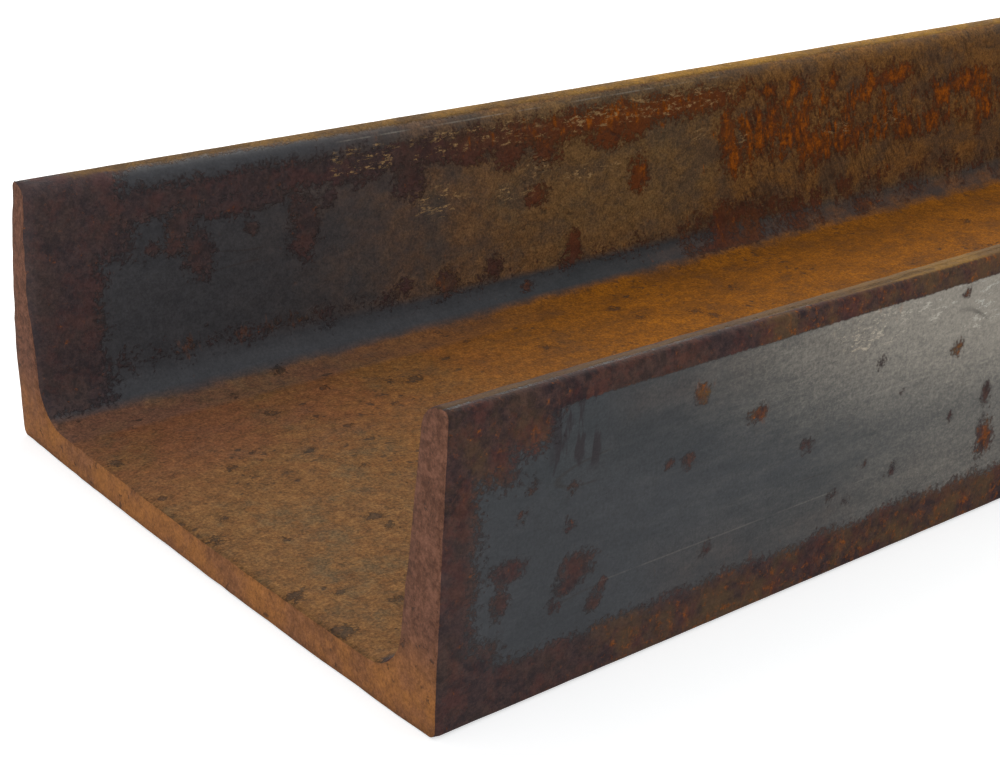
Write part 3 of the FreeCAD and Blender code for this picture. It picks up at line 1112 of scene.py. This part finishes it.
def lay_seam(tree, colour, height_on_bar):
    """A thin dark line in the cut flange, like a lap from rolling, that fades at both ends."""
    off_seam = sums(tree, "ABSOLUTE", sums(tree, "SUBTRACT", on_axis(tree, "Y"), SEAM_ACROSS))
    length = times(tree, ramp(tree, height_on_bar, *SEAM_START), ramp(tree, height_on_bar, *SEAM_END))
    seam = times(tree, ramp(tree, off_seam, SEAM_HALF_WIDTH, SEAM_CORE), length)
    return mixed(tree, times(tree, seam, 0.6), colour, RUST_DARK)


def make_cut_steel():
    """Even brown rust on the cut ends, orange low down, with specks and a seam."""
    material, tree, shader = start_material("cut_steel")
    grain = use(tree, "grain")
    height_on_bar = on_axis(tree, "Z")
    colour = mixed(tree, grain["Coarse"], CUT_BROWN, CUT_PINK)
    wet_part = ramp(tree, height_on_bar, WET_TOP, WET_FULL)
    wet_share = times(tree, wet_part, times_plus(tree, grain["Mottle"], 0.5, 0.35))
    colour = mixed(tree, wet_share, colour, CUT_ORANGE)
    specks = ramp(tree, noise_at(tree, 300, detail=4, shift=(0, 4, 4)), 0.64, 0.70)
    colour = mixed(tree, times(tree, specks, 0.6), colour, PIT_DARK)
    colour = lay_seam(tree, colour, height_on_bar)
    rough = ramp(tree, grain["Coarse"], 0, 1, 0.84, 0.95)
    drag = noise_at(tree, 520, stretch=(0.2, 1, 0.12), detail=3)
    height = times_plus(tree, grain["Height"], 0.2, times(tree, drag, 0.1))
    height = times_plus(tree, specks, -0.2, height)
    finish_material(tree, shader, speckled(tree, colour, grain, 0.45, 0.3), rough, 0.2, height)
    return material


cut_steel = make_cut_steel()
channel.data.materials.append(rolled_steel)
channel.data.materials.append(cut_steel)
print("materials on the channel:", [m.name for m in channel.data.materials])

# %% [markdown]
# ## Floor, light and backdrop
# The bar lies on a plain white floor that melts into a white backdrop. The light is soft: an even
# sky of light, a broad panel high behind the bar on the right, which brings out the tips of the
# flanges and adds to the sheen painted on the scale, and a weak one from the front. The camera
# sees floor and backdrop as white, and the floor still takes the bar's shadow.

# %% Floor
WHITE = (1.0, 1.0, 1.0, 1.0)
FLOOR_GREY = (0.8, 0.8, 0.8, 1.0)
FLOOR_HALF_SIDE, FLOOR_TOP = 6.0, -0.2 * MM
FLOOR_GLOW = 0.55


def seen_as_backdrop(tree):
    """1 for a ray from the camera, off a gloss or through glass, and 0 for light on the bar."""
    path = add(tree, "ShaderNodeLightPath")
    seen = sums(tree, "MAXIMUM", path.outputs["Is Camera Ray"], path.outputs["Is Glossy Ray"])
    return sums(tree, "MAXIMUM", seen, path.outputs["Is Transmission Ray"])


def make_floor():
    """A wide floor whose lit parts read as white, and whose shadows stay."""
    bm = bmesh.new()
    bmesh.ops.create_grid(bm, x_segments=1, y_segments=1, size=FLOOR_HALF_SIDE)
    bmesh.ops.translate(bm, vec=(0, 0, FLOOR_TOP), verts=bm.verts)
    mesh = bpy.data.meshes.new("floor")
    bm.to_mesh(mesh)
    bm.free()
    floor = bpy.data.objects.new("floor", mesh)
    bpy.context.scene.collection.objects.link(floor)
    material, tree, shader = start_material("pale_floor")
    shader.inputs["Base Color"].default_value = FLOOR_GREY
    shader.inputs["Roughness"].default_value = 0.9
    glow = add(tree, "ShaderNodeEmission", Color=WHITE, Strength=FLOOR_GLOW)
    both = add(tree, "ShaderNodeAddShader")
    pick = add(tree, "ShaderNodeMixShader", Fac=seen_as_backdrop(tree))
    tree.links.new(shader.outputs[0], both.inputs[0])
    tree.links.new(glow.outputs[0], both.inputs[1])
    tree.links.new(shader.outputs[0], pick.inputs[1])
    tree.links.new(both.outputs[0], pick.inputs[2])
    tree.links.new(pick.outputs[0], tree.nodes["Material Output"].inputs["Surface"])
    mesh.materials.append(material)
    return floor


floor = make_floor()
print("floor at", round(FLOOR_TOP, 5), "and", 2 * FLOOR_HALF_SIDE, "metres wide")

# %% Sky and two panels
SKY_STRENGTH = 0.62
BACK_PLACE, BACK_SIDE, BACK_WATTS, BACK_TINT = (CUT_END + 1.5, 1.0, 1.1), 1.4, 34, (1.0, 0.95, 0.86)
FRONT_PLACE, FRONT_SIDE, FRONT_WATTS, FRONT_TINT = (CUT_END - 0.9, -1.1, 1.2), 1.5, 8, (0.88, 0.95, 1.0)


def make_world():
    """Even soft light, and plain white wherever the camera looks past the floor."""
    world = bpy.data.worlds.new("studio")
    bpy.context.scene.world = world
    world.use_nodes = True
    tree = world.node_tree
    strength = times_plus(tree, seen_as_backdrop(tree), 1.0 - SKY_STRENGTH, SKY_STRENGTH)
    plug(tree, tree.nodes["Background"].inputs["Color"], WHITE)
    plug(tree, tree.nodes["Background"].inputs["Strength"], strength)


def make_panel(name, place_at, aim, side, watts, tint):
    """A square soft light aimed at a point."""
    data = bpy.data.lights.new(name, "AREA")
    data.shape = "SQUARE"
    data.size = side
    data.energy = watts
    data.color = tint
    light = bpy.data.objects.new(name, data)
    turn = (Vector(aim) - Vector(place_at)).to_track_quat("-Z", "Y").to_matrix().to_4x4()
    light.matrix_world = Matrix.Translation(place_at) @ turn
    bpy.context.scene.collection.objects.link(light)


make_world()
middle = (CUT_END + 0.25, 0, 0.03)
make_panel("back_panel", BACK_PLACE, middle, BACK_SIDE, BACK_WATTS, BACK_TINT)
make_panel("front_panel", FRONT_PLACE, middle, FRONT_SIDE, FRONT_WATTS, FRONT_TINT)
print("sky", SKY_STRENGTH, "back panel", BACK_WATTS, "W, front panel", FRONT_WATTS, "W")

# %% [markdown]
# ## Finish
# Standard view keeps the written colours.

# %% Finish
bpy.context.scene.view_settings.view_transform = "Standard"
